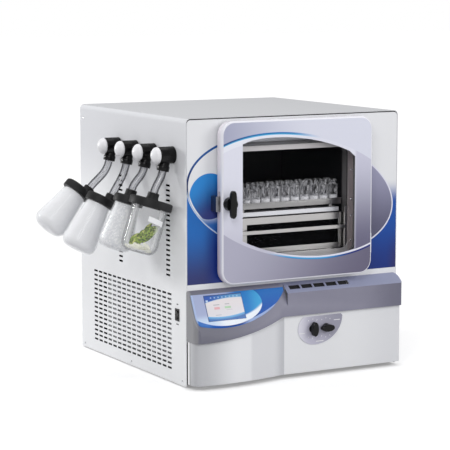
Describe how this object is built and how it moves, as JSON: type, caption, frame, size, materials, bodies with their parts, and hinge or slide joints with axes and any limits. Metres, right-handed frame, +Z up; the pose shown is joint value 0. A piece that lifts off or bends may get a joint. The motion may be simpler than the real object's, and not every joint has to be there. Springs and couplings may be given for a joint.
{
  "type": "freeze dryer",
  "caption": "Benchtop laboratory freeze dryer: clear-doored tray chamber over a curved touch-screen console, with valves and hanging flasks on the left side.",
  "frame": {"origin": "under the middle of the whole object, flasks and pump port included, at bench level", "axes": "+X to the right along the front, +Y from the front to the back, +Z up"},
  "size_m": [1.0044, 0.8134, 0.787],
  "materials": {
    "cabinet_paint": "smooth off-white powder paint",
    "front_paint": "smooth off-white paint with printed colour fields",
    "console_plastic": "satin grey-lavender moulding",
    "lens_blue": "glossy blue printed lens",
    "screen_glass": "glossy pale screen",
    "plate_print": "satin lavender plate with tick marks",
    "door_acrylic": "clear acrylic with printed corners",
    "stainless": "brushed stainless steel",
    "chrome": "bright plated steel",
    "black_plastic": "satin black",
    "black_rubber": "matt black rubber",
    "white_plastic": "semi-gloss white",
    "clear_glass": "clear glass",
    "shelf_aluminium": "satin aluminium",
    "condenser_aluminium": "bare fins",
    "black_paint": "black enamel"
  },
  "bodies": {
    "cabinet": {"base_pan": "cabinet_paint", "cabinet_wrapper": "cabinet_paint", "rear_panel": "cabinet_paint", "front_panel": "front_paint", "console_bezel": "console_plastic", "lower_front_panel": "front_paint", "screen_lens": "lens_blue", "touch_screen": "screen_glass", "knob_plate": "plate_print", "foot_front_left": "black_rubber", "foot_front_right": "black_rubber", "foot_rear_left": "black_rubber", "foot_rear_right": "black_rubber", "vacuum_chamber": "stainless", "door_gasket": "black_rubber", "lower_hinge_bracket": "chrome", "upper_hinge_bracket": "chrome", "latch_keeper": "chrome", "tray_rack": "stainless", "rack_crossbar": "stainless", "heated_shelf": "shelf_aluminium", "sample_tray": "stainless", "collector": "stainless", "vacuum_port": "stainless", "compressor": "black_paint", "condenser": "condenser_aluminium", "fan_motor": "black_paint", "control_box": "cabinet_paint", "power_inlet": "black_plastic", "switch_frame": "black_plastic", "manifold_header": "stainless", "valve_body_1": "black_plastic", "adapter_tube_1": "clear_glass", "flask_lid_1": "black_rubber", "flask_1": "clear_glass", "valve_body_2": "black_plastic", "adapter_tube_2": "clear_glass", "flask_lid_2": "black_rubber", "flask_2": "clear_glass", "valve_body_3": "black_plastic", "adapter_tube_3": "clear_glass", "flask_lid_3": "black_rubber", "flask_3": "clear_glass", "valve_body_4": "black_plastic", "adapter_tube_4": "clear_glass", "flask_lid_4": "black_rubber", "flask_4": "clear_glass"},
    "door": {"door": "door_acrylic", "lower_hinge_leaf": "chrome", "upper_hinge_leaf": "chrome"},
    "latch": {"latch_knob": "black_plastic", "latch_arm": "chrome"},
    "drain_handle": {"drain_knob": "black_plastic"},
    "vacuum_release_handle": {"vacuum_release_knob": "black_plastic"},
    "rocker": {"power_rocker": "black_plastic"},
    "fan": {"cooling_fan": "black_plastic"},
    "valve_handle_1": {"valve_knob_1": "white_plastic"},
    "valve_handle_2": {"valve_knob_2": "white_plastic"},
    "valve_handle_3": {"valve_knob_3": "white_plastic"},
    "valve_handle_4": {"valve_knob_4": "white_plastic"}
  },
  "joints": [
    {"name": "door_hinge", "type": "hinge", "parent": "cabinet", "child": "door", "pos_m": [0.39219, -0.34535, 0.539], "axis": [0, 0, 1], "range_deg": [0, 110]},
    {"name": "latch_turn", "type": "hinge", "parent": "door", "child": "latch", "pos_m": [-0.10981, -0.37535, 0.539], "axis": [0, -1, 0], "range_deg": [0, 90]},
    {"name": "drain_valve_turn", "type": "hinge", "parent": "cabinet", "child": "drain_handle", "pos_m": [0.18219, -0.36835, 0.145], "axis": [0, -1, 0], "range_deg": [0, 90]},
    {"name": "vacuum_release_turn", "type": "hinge", "parent": "cabinet", "child": "vacuum_release_handle", "pos_m": [0.22819, -0.36835, 0.145], "axis": [0, -1, 0], "range_deg": [0, 90]},
    {"name": "power_rocker_tilt", "type": "hinge", "parent": "cabinet", "child": "rocker", "pos_m": [-0.22581, -0.28135, 0.21], "axis": [0, 1, 0], "range_deg": [-7, 7]},
    {"name": "fan_spin", "type": "hinge", "parent": "cabinet", "child": "fan", "pos_m": [-0.13981, 0.00065, 0.144], "axis": [1, 0, 0], "continuous": true},
    {"name": "valve_turn_1", "type": "hinge", "parent": "cabinet", "child": "valve_handle_1", "pos_m": [-0.27681, -0.25535, 0.677], "axis": [-1, 0, 0], "range_deg": [0, 180]},
    {"name": "valve_turn_2", "type": "hinge", "parent": "cabinet", "child": "valve_handle_2", "pos_m": [-0.27681, -0.13535, 0.677], "axis": [-1, 0, 0], "range_deg": [0, 180]},
    {"name": "valve_turn_3", "type": "hinge", "parent": "cabinet", "child": "valve_handle_3", "pos_m": [-0.27681, -0.01535, 0.677], "axis": [-1, 0, 0], "range_deg": [0, 180]},
    {"name": "valve_turn_4", "type": "hinge", "parent": "cabinet", "child": "valve_handle_4", "pos_m": [-0.27681, 0.10465, 0.677], "axis": [-1, 0, 0], "range_deg": [0, 180]}
  ]
}
